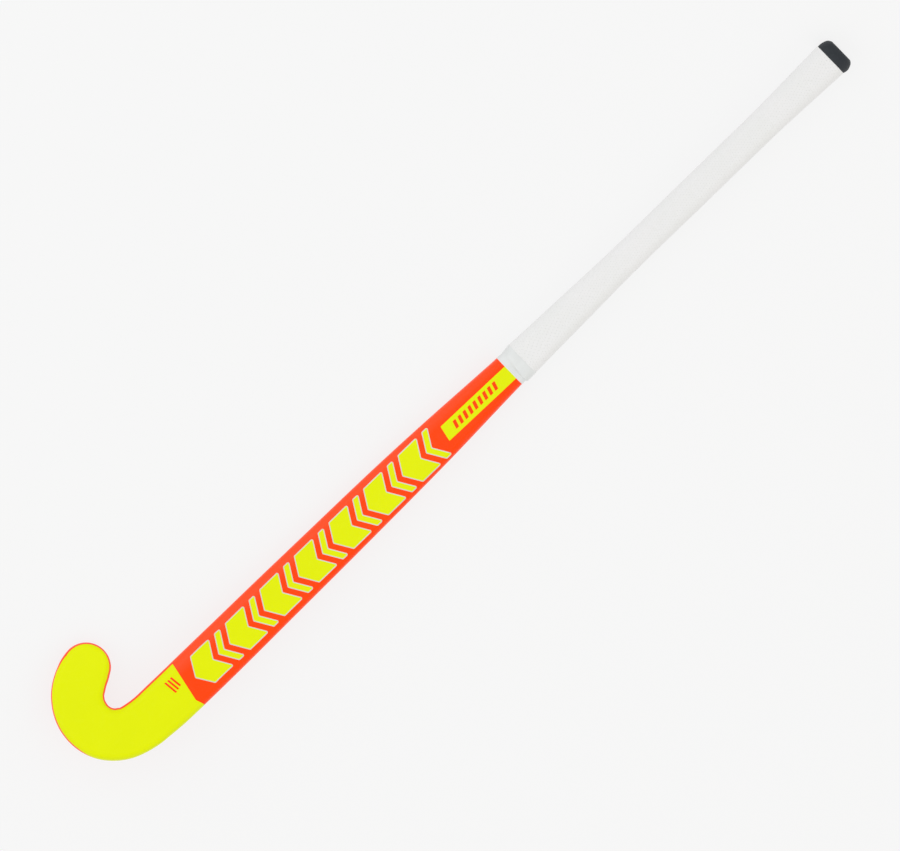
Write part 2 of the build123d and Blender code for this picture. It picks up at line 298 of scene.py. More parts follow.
def turn_at(place, inward):
    """The turn at a distance in from the toe or inner edge, seen square to the face."""
    place, inward = (x.ravel().astype(float) for x in np.broadcast_arrays(place, inward))
    weights = rib_weights(place)
    left, right = (weights @ np.array([one[key] for one in RIBS]) for key in ("left", "right"))
    width = weights @ np.array([one["high"] - one["low"] for one in RIBS])
    first = np.arccos(np.clip(1 - inward / left, 0, 1)) * 2 / pi
    third = 3 - np.arccos(np.clip(1 - (width - inward) / right, 0, 1)) * 2 / pi
    middle = 1 + (inward - left) / (width - left - right)
    return np.select([inward < left, inward > width - right], [first, third], middle)


def on_shaft(station, side, grow):
    """Points over the shaft's face at a station and a distance towards the toe side, lifted by grow."""
    station, side = np.asarray(station, float), np.asarray(side, float)
    toe_half = rib_weights(BUTT - station) @ np.array([-one["low"] for one in RIBS])
    return skin(BUTT - station, turn_at(BUTT - station, toe_half - side), grow)


# ---- Meshes ----
SHARP = radians(38)


class Draft:
    """Vertices and faces of one piece; dark lists the faces that take its second material."""

    def __init__(self):
        self.points = []
        self.faces = []
        self.dark = []
        self.count = 0

    def add(self, points):
        """Adds points and returns the index of the first."""
        first = self.count
        self.points.append(np.asarray(points, float))
        self.count += len(points)
        return first

    def grid(self, rows, columns, first, closed=False, flip=False):
        """Quads over rows of points already added; closed joins the last column to the first."""
        for i in range(rows - 1):
            for j in range(columns if closed else columns - 1):
                k = (j + 1) % columns
                quad = (first + i * columns + j, first + i * columns + k)
                quad += (first + (i + 1) * columns + k, first + (i + 1) * columns + j)
                self.faces.append(quad[::-1] if flip else quad)

    def bridge(self, ring, other):
        """Quads between two closed loops of as many points."""
        count = len(ring)
        for j in range(count):
            k = (j + 1) % count
            self.faces.append((ring[j], ring[k], other[k], other[j]))

    def fan(self, ring, centre):
        """Triangles from a closed loop to one point."""
        for j in range(len(ring)):
            self.faces.append((ring[j], ring[(j + 1) % len(ring)], centre))

    def piece(self, name, *materials):
        """The finished mesh object, closed, with its normals outwards."""
        mesh = bpy.data.meshes.new(name)
        mesh.from_pydata(np.concatenate(self.points).tolist(), [], self.faces)
        work = bmesh.new()
        work.from_mesh(mesh)
        bmesh.ops.recalc_face_normals(work, faces=work.faces)
        for face in work.faces:
            face.smooth = True
        for edge in work.edges:
            edge.smooth = edge.calc_face_angle(0.0) < SHARP
        work.to_mesh(mesh)
        work.free()
        for material in materials:
            mesh.materials.append(material)
        for i in self.dark:
            mesh.polygons[i].material_index = 1
        piece = bpy.data.objects.new(name, mesh)
        bpy.context.scene.collection.objects.link(piece)
        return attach(piece, "root")


def spaced(*stops):
    """Values from each (value, steps) stop to the next, in equal steps."""
    values = [stops[0][0]]
    for (start, steps), (end, _) in zip(stops, stops[1:]):
        values += [start + (end - start) * (i + 1) / steps for i in range(steps)]
    return np.array(values)


# Turns round a section: close together on the edges, one loop just inside each end of the flat face
ROUND = spaced((0, 12), (1, 1), (1.015, 10), (1.985, 1), (2, 12), (3, 44), (4, 0))[:-1]


def rings(draft, places, grow):
    """Closed rings of skin at the given places, joined by quads; returns the indices of each ring."""
    grow = np.broadcast_to(np.asarray(grow, float), (len(places),))
    count = len(ROUND)
    turns = np.tile(ROUND, len(places))
    first = draft.add(skin(np.repeat(places, count), turns, np.repeat(grow, count)))
    draft.grid(len(places), count, first, closed=True)
    return [list(range(first + i * count, first + (i + 1) * count)) for i in range(len(places))]


def ring_points(draft, ring):
    """The points of one ring already added."""
    return np.concatenate(draft.points)[ring]


def close_end(draft, ring, steps, dome, out):
    """Shrinking rings that close an end, with a slight dome in the direction out."""
    points = ring_points(draft, ring)
    centre = points.mean(axis=0)
    for i in range(1, steps):
        share = 1 - i / steps
        lift = dome * (1 - share**2) * MM * out
        first = draft.add(centre + (points - centre) * share + lift)
        inner = list(range(first, first + len(points)))
        draft.bridge(ring, inner)
        ring = inner
    draft.fan(ring, draft.add([centre + dome * MM * out]))


# ---- Materials ----
class Shading:
    """One procedural material under construction."""

    def __init__(self, name):
        self.material = bpy.data.materials.new(name)
        self.material.use_nodes = True
        self.tree = self.material.node_tree
        self.shader = self.tree.nodes["Principled BSDF"]
        self.place = self.tree.nodes.new("ShaderNodeTexCoord").outputs["Object"]

    def set(self, **values):
        """Constants on the shader's own sockets; underscores stand for spaces."""
        for name, value in values.items():
            self.shader.inputs[name.replace("_", " ")].default_value = value

    def node(self, kind, inputs, **settings):
        """A node with its settings, its inputs linked or set."""
        node = self.tree.nodes.new(kind)
        for name, value in settings.items():
            setattr(node, name, value)
        for name, value in inputs.items():
            if isinstance(value, bpy.types.NodeSocket):
                self.tree.links.new(value, node.inputs[name])
            else:
                node.inputs[name].default_value = value
        return node

    def noise(self, size, detail, roughness=0.5, stretch=None):
        """Noise whose features are about size millimetres; stretch lengthens them along the frame's X."""
        place = self.place
        if stretch:
            inputs = {"Vector": place, "Scale": (1 / stretch, 1, 1)}
            place = self.node("ShaderNodeMapping", inputs).outputs[0]
        inputs = {"Vector": place, "Scale": 1 / (size * MM), "Detail": detail, "Roughness": roughness}
        return self.node("ShaderNodeTexNoise", inputs).outputs["Fac"]

    def cells(self, size, feature="F1"):
        """Distance pattern of cells about size millimetres across."""
        inputs = {"Vector": self.place, "Scale": 1 / (size * MM)}
        return self.node("ShaderNodeTexVoronoi", inputs, feature=feature).outputs["Distance"]

    def spread(self, value, low, high, new_low=0.0, new_high=1.0):
        """The value carried from one range to another, and clamped."""
        inputs = {"Value": value, "From Min": low, "From Max": high, "To Min": new_low, "To Max": new_high}
        return self.node("ShaderNodeMapRange", inputs).outputs["Result"]

    def toe_share(self, first, last):
        """Share that grows from 0 to 1 between two distances towards the toe side, in millimetres."""
        inputs = {0: self.place, 1: tuple(TOEWARD)}
        across = self.node("ShaderNodeVectorMath", inputs, operation="DOT_PRODUCT").outputs["Value"]
        middle = FACE_ORIGIN @ TOEWARD
        return self.spread(across, middle + first * MM, middle + last * MM)

    def blend(self, share, first, second):
        """Colour between two, by share."""
        node = self.tree.nodes.new("ShaderNodeMix")
        node.data_type = "RGBA"
        for index, value in ((0, share), (6, first), (7, second)):
            if isinstance(value, bpy.types.NodeSocket):
                self.tree.links.new(value, node.inputs[index])
            else:
                node.inputs[index].default_value = value
        return node.outputs[2]

    def link(self, name, value):
        """A changing value on one of the shader's sockets."""
        self.tree.links.new(value, self.shader.inputs[name])

    def bump(self, *layers):
        """Bump layers, each (height, distance in millimetres, strength)."""
        normal = None
        for height, distance, strength in layers:
            inputs = {"Height": height, "Distance": distance * MM, "Strength": strength}
            if normal:
                inputs["Normal"] = normal
            normal = self.node("ShaderNodeBump", inputs).outputs["Normal"]
        self.link("Normal", normal)


def colour(red, green, blue):
    """A display colour, 0 to 255, as a linear colour."""
    display = np.array([red, green, blue]) / 255
    linear = np.where(display <= 0.04045, display / 12.92, ((display + 0.055) / 1.055) ** 2.4)
    return (*linear.tolist(), 1.0)


# Distances towards the toe side, in millimetres, over which the lacquer turns to its painted highlight
# colour
TOE_HIGHLIGHT_BAND = (8.0, 17.0)


def lacquered(name, bright, deep, speck, flip, painted_toe_highlight=None):
    """Smooth lacquer: faint pooling, fine orange peel, handling marks, and a flip at glancing angles; a
    lighter colour, if given, is painted towards the toe side as a highlight.
    """
    look = Shading(name)
    pooling = look.spread(look.noise(42, 2), 0.35, 0.65)
    grain = look.spread(look.noise(1.2, 4), 0.3, 0.7, 0.0, speck)
    base = look.blend(grain, look.blend(pooling, bright, deep), deep)
    if painted_toe_highlight:
        # Painted highlight: the base colour turns lighter towards the toe-side edge, where the light falls
        base = look.blend(look.toe_share(*TOE_HIGHLIGHT_BAND), base, painted_toe_highlight)
    look.link("Base Color", base)
    scuffs = look.spread(look.noise(6, 5, 0.7), 0.5, 0.75, 0.0, 0.06)
    look.link("Roughness", look.node("ShaderNodeMath", {0: scuffs, 1: 0.26}, operation="ADD").outputs[0])
    look.set(Specular_IOR_Level=0.06, Coat_Weight=0.08, Coat_Roughness=0.12, Coat_IOR=1.42)
    look.set(Sheen_Weight=flip, Sheen_Roughness=0.35)
    look.bump((look.noise(1.6, 2), 0.02, 0.35), (look.noise(9, 2), 0.05, 0.25))
    return look.material


def orange_lacquer():
    # The third colour is a painted highlight along the toe-side edge
    bright, deep, painted_toe_highlight = colour(255, 69, 8), colour(254, 67, 6), colour(255, 79, 40)
    return lacquered("orange_lacquer", bright, deep, 0.2, 0.25, painted_toe_highlight)


def yellow_film():
    return lacquered("yellow_film", colour(222, 232, 0), colour(220, 230, 0), 0.2, 0.0)


def silver_print():
    """Metallic keyline under the yellow print."""
    look = Shading("silver_print")
    flake = look.spread(look.cells(0.18), 0.1, 0.6)
    look.link("Base Color", look.blend(flake, colour(176, 182, 168), colour(205, 208, 196)))
    look.set(Metallic=0.35, Roughness=0.42, Specular_IOR_Level=0.4, Coat_Weight=0.4, Coat_Roughness=0.12)
    look.bump((look.noise(1.6, 2), 0.02, 0.3))
    return look.material


def grip_skin():
    """White polyurethane wrap: fine leather grain, faint warm handling tint, matt and a little soft."""
    look = Shading("grip_white")
    tint = look.spread(look.noise(38, 3), 0.35, 0.68)
    soil = look.spread(look.noise(3.5, 5, 0.65), 0.45, 0.8, 0.0, 0.35)
    clean = look.blend(tint, colour(229, 228, 228), colour(227, 227, 226))
    look.link("Base Color", look.blend(soil, clean, colour(221, 221, 217)))
    look.set(Roughness=0.62, Specular_IOR_Level=0.35, Sheen_Weight=0.12, Sheen_Roughness=0.5)
    grain = look.cells(0.42, "SMOOTH_F1")
    look.bump((grain, 0.05, 0.45), (look.noise(0.25, 3), 0.03, 0.4), (look.noise(7, 2), 0.15, 0.3))
    return look.material


def tape_vinyl():
    """White finishing tape: stretched vinyl with fine lengthwise pull lines."""
    look = Shading("tape_white")
    pull = look.noise(0.5, 4, 0.6, stretch=0.12)
    cloud = look.spread(look.noise(9, 3), 0.35, 0.7)
    look.link("Base Color", look.blend(cloud, colour(220, 222, 221), colour(214, 216, 215)))
    look.set(Roughness=0.38, Specular_IOR_Level=0.45)
    look.bump((pull, 0.04, 0.4), (look.noise(4, 2), 0.12, 0.35))
    return look.material


def cap_rubber():
    """Charcoal rubber with a fine moulded grain and pale dust in it."""
    look = Shading("cap_rubber")
    dust = look.spread(look.noise(2.4, 5, 0.7), 0.5, 0.85, 0.0, 0.5)
    look.link("Base Color", look.blend(dust, colour(36, 41, 46), colour(53, 58, 63)))
    look.set(Roughness=0.58, Specular_IOR_Level=0.3)
    look.bump((look.cells(0.5), 0.05, 0.5), (look.noise(0.3, 3), 0.03, 0.4))
    return look.material


def core_foam():
    """Rigid cream polyurethane foam with open cells, their hollows painted darker as shade."""
    look = Shading("core_foam")
    cells = look.cells(0.9)
    # Painted shade: the colour is darker in the cell hollows, where the bump sinks, and lighter towards
    # the cell walls
    walls = look.spread(cells, 0.1, 0.7)
    look.link("Base Color", look.blend(walls, colour(214, 190, 138), colour(232, 214, 170)))
    look.set(Roughness=0.9, Specular_IOR_Level=0.2)
    look.bump((cells, 0.3, 0.8), (look.noise(0.4, 3), 0.1, 0.4))
    return look.material


def bare_laminate():
    """Woven carbon, black, under a thin resin skin."""
    look = Shading("bare_laminate")
    bands = {"Vector": look.place, "Scale": 1 / (6.28 * 0.8 * MM), "Distortion": 0.6, "Detail": 1.0}
    first = look.node("ShaderNodeTexWave", bands, bands_direction="DIAGONAL").outputs["Fac"]
    turned = look.node("ShaderNodeMapping", {"Vector": look.place, "Rotation": (0, 0, pi / 2)}).outputs[0]
    crossing = {**bands, "Vector": turned}
    second = look.node("ShaderNodeTexWave", crossing, bands_direction="DIAGONAL").outputs["Fac"]
    weave = look.node("ShaderNodeMath", {0: first, 1: second}, operation="MULTIPLY").outputs[0]
    look.link("Base Color", look.blend(weave, colour(22, 23, 25), colour(58, 60, 64)))
    look.set(Roughness=0.36, Specular_IOR_Level=0.5, Coat_Weight=0.3)
    look.bump((weave, 0.08, 0.6))
    return look.material


def grip_cushion():
    """Grey felted cushion backing."""
    look = Shading("grip_cushion")
    fibre = look.noise(0.5, 6, 0.75)
    nap = look.spread(fibre, 0.3, 0.7)
    look.link("Base Color", look.blend(nap, colour(200, 201, 198), colour(224, 225, 222)))
    look.set(Roughness=0.95, Specular_IOR_Level=0.1, Sheen_Weight=0.3)
    look.bump((fibre, 0.2, 0.7))
    return look.material


def studio_floor():
    """Pale seamless paper."""
    look = Shading("studio_floor")
    paper = look.blend(look.noise(300, 3), colour(96, 96, 96), colour(98, 98, 98))
    look.link("Base Color", paper)
    look.set(Roughness=0.95, Specular_IOR_Level=0.0, Emission_Color=(1, 1, 1, 1), Emission_Strength=0.80)
    look.bump((look.noise(1.5, 3), 0.02, 0.1))
    return look.material


ORANGE = orange_lacquer()
YELLOW = yellow_film()
SILVER = silver_print()


# ---- Lacquered shell: outer surface, inner surface, joined round the open handle end ----
def laminate_shell():
    draft = Draft()
    handle_end = BUTT - HANDLE_END
    body = spaced((handle_end, 170), (HOOK_PLACE - 20, 8), (HOOK_PLACE, 60), (TOE_PLACE, 8))
    bulb_turns = np.radians(spaced((0, 20), (66, 12), (BULB_ANGLES[-1], 0)))
    toe = TOE_PLACE + BULB_REACH + BULB_RADIUS * bulb_turns
    places = np.concatenate([body, TOE_PLACE + spaced((2.0, 5), (12.0, 0)), toe])
    outer = rings(draft, places, 0.0)
    inner = rings(draft, places, -WALL)
    draft.bridge(outer[0], inner[0])
    tip = AXES.T @ np.array([cos(TOE_ANGLE), sin(TOE_ANGLE), 0])
    for loops in (outer, inner):
        close_end(draft, loops[-1], 4, 0.1, tip)
    shell = draft.piece("lacquered_shell", ORANGE)
    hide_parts("outer_laminate")


# ---- Films: thin closed plates that follow the skin ----
def plate(name, rows, columns, place, turn, proud, sunk, material):
    """A closed plate over a grid of places and turns."""
    draft = Draft()
    top = draft.add(skin(place, turn, proud))
    under = draft.add(skin(place, turn, sunk))
    draft.grid(rows, columns, top)
    draft.grid(rows, columns, under, flip=True)
    edge = list(range(columns))
    edge += [i * columns + columns - 1 for i in range(1, rows)]
    edge += [(rows - 1) * columns + j for j in range(columns - 2, -1, -1)]
    edge += [i * columns for i in range(rows - 2, 0, -1)]
    draft.bridge([top + i for i in edge], [under + i for i in edge])
    return draft.piece(name, material)


FILM_PROUD = 0.06
FILM_SUNK = -0.14
CORNER_POINTS = 6
# Where flat prints are cut to follow the skin: a step along it, and places across its rounded edges
CUT_STEP = 4
CUT_SIDES = np.concatenate([np.arange(-22, -12, 0.8), np.arange(11, 17, 0.8)])


def rounded(corners, radius, outset=0.0):
    """Outline of a polygon moved out by outset, with rounded corners."""
    corners = [np.array(corner, float) for corner in corners]
    if sum(a[0] * b[1] - a[1] * b[0] for a, b in zip(corners, corners[1:] + corners[:1])) < 0:
        corners = corners[::-1]
    outline = []
    for before, here, after in zip(corners[-1:] + corners[:-1], corners, corners[1:] + corners[:1]):
        come = (here - before) / np.linalg.norm(here - before)
        go = (after - here) / np.linalg.norm(after - here)
        bend = np.arctan2(come[0] * go[1] - come[1] * go[0], come @ go)
        side = np.sign(bend)
        curve = max(radius + side * outset, 0.3)
        corner = here + np.array([come[1] + go[1], -come[0] - go[0]]) * outset / (1 + come @ go)
        inward = side * np.array([-come[1], come[0]])
        centre = corner - come * curve * np.tan(abs(bend) / 2) + curve * inward
        start = np.arctan2(-side * come[0], side * come[1])
        for share in np.linspace(0, 1, CORNER_POINTS):
            angle = start + bend * share
            outline.append(centre + curve * np.array([cos(angle), sin(angle)]))
    return outline


def printed(name, outlines, proud, material):
    """Closed film plates on the shaft's face, cut to outlines of (station, side)."""
    work = bmesh.new()
    for outline in outlines:
        work.faces.new([work.verts.new((x, y, 0)) for x, y in outline])
    bmesh.ops.triangulate(work, faces=work.faces)
    corners = np.concatenate(outlines)
    stations = np.arange(corners[:, 0].min() + CUT_STEP, corners[:, 0].max(), CUT_STEP)
    for axis, stops in ((0, stations), (1, CUT_SIDES)):
        for stop in stops:
            level = [0.0, 0.0, 0.0]
            level[axis] = stop
            normal = [float(axis == i) for i in range(3)]
            geometry = work.verts[:] + work.edges[:] + work.faces[:]
            bmesh.ops.bisect_plane(work, geom=geometry, plane_co=level, plane_no=normal)
    work.verts.index_update()
    flat = np.array([vertex.co[:2] for vertex in work.verts])
    draft = Draft()
    top = draft.add(on_shaft(flat[:, 0], flat[:, 1], proud))
    under = draft.add(on_shaft(flat[:, 0], flat[:, 1], FILM_SUNK))
    for face in work.faces:
        loop = [vertex.index for vertex in face.verts]
        draft.faces.append([top + i for i in loop])
        draft.faces.append([under + i for i in loop[::-1]])
    for edge in work.edges:
        if edge.is_boundary:
            a, b = (vertex.index for vertex in edge.verts)
            draft.faces.append((top + a, top + b, under + b, under + a))
    work.free()
    return draft.piece(name, material)


# ---- Head film: inside the inner edge and round the toe, and wrapped over the heel ----
HEAD_FILM_MARGIN = 1.9
HEAD_FILM_OUTER_MARGIN = 0.9
HEAD_FILM_WRAP_TURN = 2.96
HEAD_FILM_WRAP_PLACES = [HOOK_PLACE + HOOK_MIDDLE * radians(270 - angle) for angle in (212, 188)]
HEAD_FILM_END = [(-23.8, 110.2), (-15.8, 107.1), (21.9, 114.7)]
FILM_COLUMNS = 64


def head_film():
    sides, stations = zip(*HEAD_FILM_END)
    across = np.linspace(0, 1, FILM_COLUMNS)
    bulb = BULB_RADIUS - HEAD_FILM_MARGIN
    tip = np.radians(spaced((0, 24), (87, 0)))
    reach = BULB_REACH + bulb * np.sin(tip[1:])
    places = spaced((BUTT - 100, 24), (HOOK_PLACE, 60), (TOE_PLACE, 12), (TOE_PLACE + BULB_REACH, 0))
    beyond = TOE_PLACE + BULB_REACH + BULB_RADIUS * np.arcsin((reach - BULB_REACH) / BULB_RADIUS)
    rib_widths = np.array([one["high"] - one["low"] for one in RIBS])
    widths = rib_weights(np.concatenate([places, beyond])) @ rib_widths
    margins = np.full(len(widths), HEAD_FILM_MARGIN)
    margins[len(places) :] = widths[len(places) :] / 2 - bulb * np.cos(tip[1:])
    places = np.concatenate([places, beyond])
    start = turn_at(places, margins)
    wrap = np.clip((places - HEAD_FILM_WRAP_PLACES[0]) / np.ptp(HEAD_FILM_WRAP_PLACES), 0, 1)
    wrap = wrap * wrap * (3 - 2 * wrap)
    settle = np.clip((places - TOE_PLACE) / BULB_REACH, 0, 1)
    narrowing = HEAD_FILM_OUTER_MARGIN + settle * (HEAD_FILM_MARGIN - HEAD_FILM_OUTER_MARGIN)
    outer = np.where(places < TOE_PLACE + BULB_REACH, narrowing, margins)
    end = HEAD_FILM_WRAP_TURN + (turn_at(places, widths - outer) - HEAD_FILM_WRAP_TURN) * wrap
    turn = start[:, None] + (end - start)[:, None] * across
    place = np.repeat(places[:, None], FILM_COLUMNS, axis=1)
    lead = 12
    end_points = skin(BUTT - stations[1], turn[0], 0.0)
    slant = BUTT - np.interp((end_points - FACE_ORIGIN) @ TOEWARD / MM, sides, stations)
    for i in range(lead):
        share = i / lead
        place[i] = slant + (places[lead] - slant) * share
    film = plate("head_film_print", len(places), FILM_COLUMNS, place, turn, FILM_PROUD, FILM_SUNK, YELLOW)
    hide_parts("head_film")


# ---- Shaft graphic: pairs of chevrons pointing to the head, on a silver keyline ----
GRAPHIC_BAND = (120.4, 426.7)
GRAPHIC_LOW = -17.4
GRAPHIC_HIGH = 15.7
CHEVRON_PAIRS = 7
CHEVRON_DEPTH = 10.0
CHEVRON_GAP = 6.0
NARROW_CHEVRON = 7.5
CHEVRON_CORNER = 1.5
KEYLINE = 0.9
BAR_FILM = [(432.1, -7.4), (514.0, -8.8), (514.0, 6.0), (435.1, 7.3)]
# Leaning dashes on the bar and behind the head film: station, width, low side, high side, lean
BAR_DASHES = [(444.0 + 6.1 * i, 3.4, -4.1, 3.2, 2.2) for i in range(9)]
HEAD_DASHES = [(98.4 + 3.4 * i, 1.9, 1.2 + 1.4 * i, 14.0 + 0.6 * i, -1.4) for i in range(3)]


def chevron(start, width):
    """Corners of one chevron, nose first."""
    middle = (GRAPHIC_LOW + GRAPHIC_HIGH) / 2
    back = start + CHEVRON_DEPTH
    corners = [(start, middle), (back, GRAPHIC_LOW), (back + width, GRAPHIC_LOW), (start + width, middle)]
    return corners + [(back + width, GRAPHIC_HIGH), (back, GRAPHIC_HIGH)]


def shaft_graphic():
    pitch = (GRAPHIC_BAND[1] - GRAPHIC_BAND[0] - CHEVRON_DEPTH + CHEVRON_GAP) / CHEVRON_PAIRS
    wide = pitch - NARROW_CHEVRON - 2 * CHEVRON_GAP
    shapes = []
    for index in range(CHEVRON_PAIRS):
        start = GRAPHIC_BAND[0] + pitch * index
        shapes += [chevron(start, wide), chevron(start + wide + CHEVRON_GAP, NARROW_CHEVRON)]
    inner = [rounded(shape, CHEVRON_CORNER - KEYLINE, -KEYLINE) for shape in shapes]
    outer = [rounded(shape, CHEVRON_CORNER) for shape in shapes]
    keyline = printed("chevron_keylines", outer, FILM_PROUD / 2, SILVER)
    fills = printed("chevron_prints", inner, FILM_PROUD, YELLOW)
    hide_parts("shaft_graphic")
    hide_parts("shaft_graphic")


def slanted(start, width, low, high, lean):
    """Corners of a leaning dash."""
    return [(start, low), (start + width, low), (start + width + lean, high), (start + lean, high)]


def bar_and_dashes():
    bar = printed("bar_print", [rounded(BAR_FILM, 0.6)], FILM_PROUD / 2, YELLOW)
    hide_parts("bar_film")
    dashes = [rounded(slanted(*dash), 0.5) for dash in BAR_DASHES]
    dashes += [rounded(slanted(*dash), 0.4) for dash in HEAD_DASHES]
    marks = printed("orange_dashes", dashes, FILM_PROUD * 1.5, ORANGE)


# ---- Grip wrap: one perforated strip wound down the handle from the cap, edge to edge ----
CAP_START = 914.4
WRAP_END = 519.2
PITCH = 23.5
HOLE_SPACING = 2.7
HOLE_ROWS = 9
HOLE_RADIUS = 0.28
HOLE_TAPER = 0.9
HOLE_DEPTH = 0.2
# Distance in from the strip's edge, and drop there
SEAM_ROUND = [(0.0, 0.14), (0.08, 0.06), (0.28, 0.01)]
# The strip is laid long at both ends and then cut square
STRIP_SPARE = 4.0
STRIP_STOPS = (WRAP_END - 6.0, BUTT - 3.0)
GIRTH_STATION = 720.0
# Finishing tape over the wrap's end: the wrap sinks a little under it and ramps up a little later
TAPE_START = 514.0
TAPE_END = 530.0
UNDER_TAPE = 0.06
WRAP_LAG = 1.2


def girth_turns(station, grow):
    """Girth of the skin at one station, and the turns and shares of the girth that go together."""
    turn = np.linspace(0, 4, 400)
    ring = skin(np.full(400, BUTT - station), turn, grow, 1.0)
    steps = np.linalg.norm(np.diff(ring, axis=0), axis=1)
    share = np.concatenate([[0], np.cumsum(steps)])
    return share[-1] / MM, turn, share / share[-1]


def grip_wrap():
    girth, turns, shares = girth_turns(GIRTH_STATION, GRIP)
    lean = np.arctan2(PITCH, girth)
    width = PITCH * cos(lean)
    length = (CAP_START + PITCH - WRAP_END + STRIP_SPARE) / sin(lean)
    cells = ceil(length / HOLE_SPACING)
    halves = 2 * cells + 1
    row_height = HOLE_SPACING * sqrt(3) / 2
    margin = (width - HOLE_ROWS * row_height) / 2
    lines = [margin + row_height * i for i in range(HOLE_ROWS + 1)]

    def strip_points(along, over, grow):
        round_handle = (along * cos(lean) + over * sin(lean)) / girth
        station = CAP_START - along * sin(lean) + over * cos(lean)
        turn = np.interp(round_handle % 1, shares, turns)
        station = np.clip(station, *STRIP_STOPS)
        under_tape = UNDER_TAPE * (station < TAPE_END)
        return skin(BUTT - station, turn, grow * lead_in(station - WRAP_LAG, turn) - under_tape, 1.0)

    draft = Draft()
    along = np.arange(halves) * HOLE_SPACING / 2
    rows = [(over, GRIP - drop) for over, drop in SEAM_ROUND]
    rows += [(over, GRIP) for over in lines]
    rows += [(width - over, GRIP - drop) for over, drop in SEAM_ROUND[::-1]]
    rows += [(over, BACKING + CLEARANCE) for over in (width, width / 2, 0.0)]
    starts = [draft.add(strip_points(along, over, grow)) for over, grow in rows]
    first_line = len(SEAM_ROUND)
    for i, start in enumerate(starts):
        other = starts[(i + 1) % len(starts)]
        if not first_line <= i < first_line + HOLE_ROWS:
            for j in range(halves - 1):
                draft.faces.append((start + j, start + j + 1, other + j + 1, other + j))
    centres, borders = [], []
    for row in range(HOLE_ROWS):
        low, high = starts[first_line + row], starts[first_line + row + 1]
        for j in range(row % 2, halves - 2, 2):
            centres.append(((j + 1) * HOLE_SPACING / 2, (lines[row] + lines[row + 1]) / 2))
            borders.append((low + j, low + j + 1, low + j + 2, high + j + 2, high + j + 1, high + j))
        if row % 2:
            for j in (0, halves - 2):
                draft.faces.append((low + j, low + j + 1, high + j + 1, high + j))
    angles = np.radians([210, 270, 330, 30, 90, 150])
    sides = len(angles)
    along, over = (np.repeat(middle, sides) for middle in zip(*centres))
    cosines, sines = np.tile(np.cos(angles), len(centres)), np.tile(np.sin(angles), len(centres))
    rims, floors = (
        draft.add(strip_points(along + radius * cosines, over + radius * sines, GRIP - depth))
        for radius, depth in ((HOLE_RADIUS, 0.0), (HOLE_RADIUS * HOLE_TAPER, HOLE_DEPTH))
    )
    for i, border in enumerate(borders):
        rim, ground = ([first + sides * i + j for j in range(sides)] for first in (rims, floors))
        draft.bridge(border, rim)
        draft.bridge(rim, ground)
        draft.dark.append(len(draft.faces))
        draft.faces.append(ground)
    for j in (0, halves - 1):
        draft.faces.append([start + j for start in starts])
    wrap = draft.piece("perforated_grip_wrap", grip_skin(), grip_cushion())
    trim_ends(wrap, WRAP_END, CAP_START)
    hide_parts("grip_wrap")


def trim_ends(piece, start, end):
    """Cuts a piece square at two stations and closes the cuts."""
    work = bmesh.new()
    work.from_mesh(piece.data)
    for station, side in ((start, -1), (end, 1)):
        point, slope = bow_path(station)
        normal = side * np.array([cos(slope), 0, sin(slope)]) @ AXES
        geometry = work.verts[:] + work.edges[:] + work.faces[:]
        cut = bmesh.ops.bisect_plane(
            work, geom=geometry, dist=1e-7, plane_co=placed(point), plane_no=normal, clear_outer=True
        )
        edges = [item for item in cut["geom_cut"] if isinstance(item, bmesh.types.BMEdge)]
        bmesh.ops.holes_fill(work, edges=edges, sides=0)
    bmesh.ops.recalc_face_normals(work, faces=work.faces)
    work.to_mesh(piece.data)
    work.free()


# ---- Grip's lead-in: steep at the heel edge, and a long ramp at the toe edge ----
GRIP_START = 519.0
RAMP_START = 518.2
RAMP_HEEL = 1.4
RAMP_TOE = 12.5


def lead_in(station, turn):
    """Share of the grip's thickness reached at a station and a turn."""
    turn = np.asarray(turn) % 4
    from_toe = np.where(turn < 3, turn / 3, 4 - turn)
    toeness = (0.5 + 0.5 * np.cos(pi * from_toe)) ** 3
    share = np.clip((station - RAMP_START) / (RAMP_HEEL + (RAMP_TOE - RAMP_HEEL) * toeness), 0, 1)
    return share * share * (3 - 2 * share)


def sleeve(name, outside, inside, material):
    """Closed sleeve round the handle; outside and inside are (stations, growth at stations and turns)."""
    draft = Draft()
    stations = np.concatenate([outside[0], inside[0]])
    growth = np.concatenate([outside[1], inside[1]])
    count = len(ROUND)
    places, turns = np.repeat(BUTT - stations, count), np.tile(ROUND, len(stations))
    first = draft.add(skin(places, turns, growth.ravel(), 1.0))
    draft.grid(len(stations), count, first, closed=True)
    last = first + (len(stations) - 1) * count
    draft.bridge(range(last, last + count), range(first, first + count))
    return draft.piece(name, material)


def over_ramp(stations, thickness, extra):
    """Growth that follows the lead-in, plus a film of extra thickness."""
    stations, turns = np.meshgrid(stations, ROUND, indexing="ij")
    return thickness * lead_in(stations, turns) + extra


def cushion_backing():
    stations = spaced((GRIP_START - 0.8, 24), (530.0, 90), (CAP_START, 0))
    inside = stations[::-1]
    bed = over_ramp(inside, 0.0, 0.01)
    outside = np.maximum(over_ramp(stations, BACKING, -CLEARANCE), 0.015)
    backing = sleeve("cushion_backing", (stations, outside), (inside, bed), grip_cushion())
    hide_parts("grip_backing")


# ---- Finishing tape: over the wrap's end and down onto the shaft ----
TAPE_LIP = 0.06
TAPE_EDGE = 0.04
# The tape's first turn alone, thinner, up to where its second turn starts
FIRST_TURN = 0.55
SECOND_TURN = 0.7


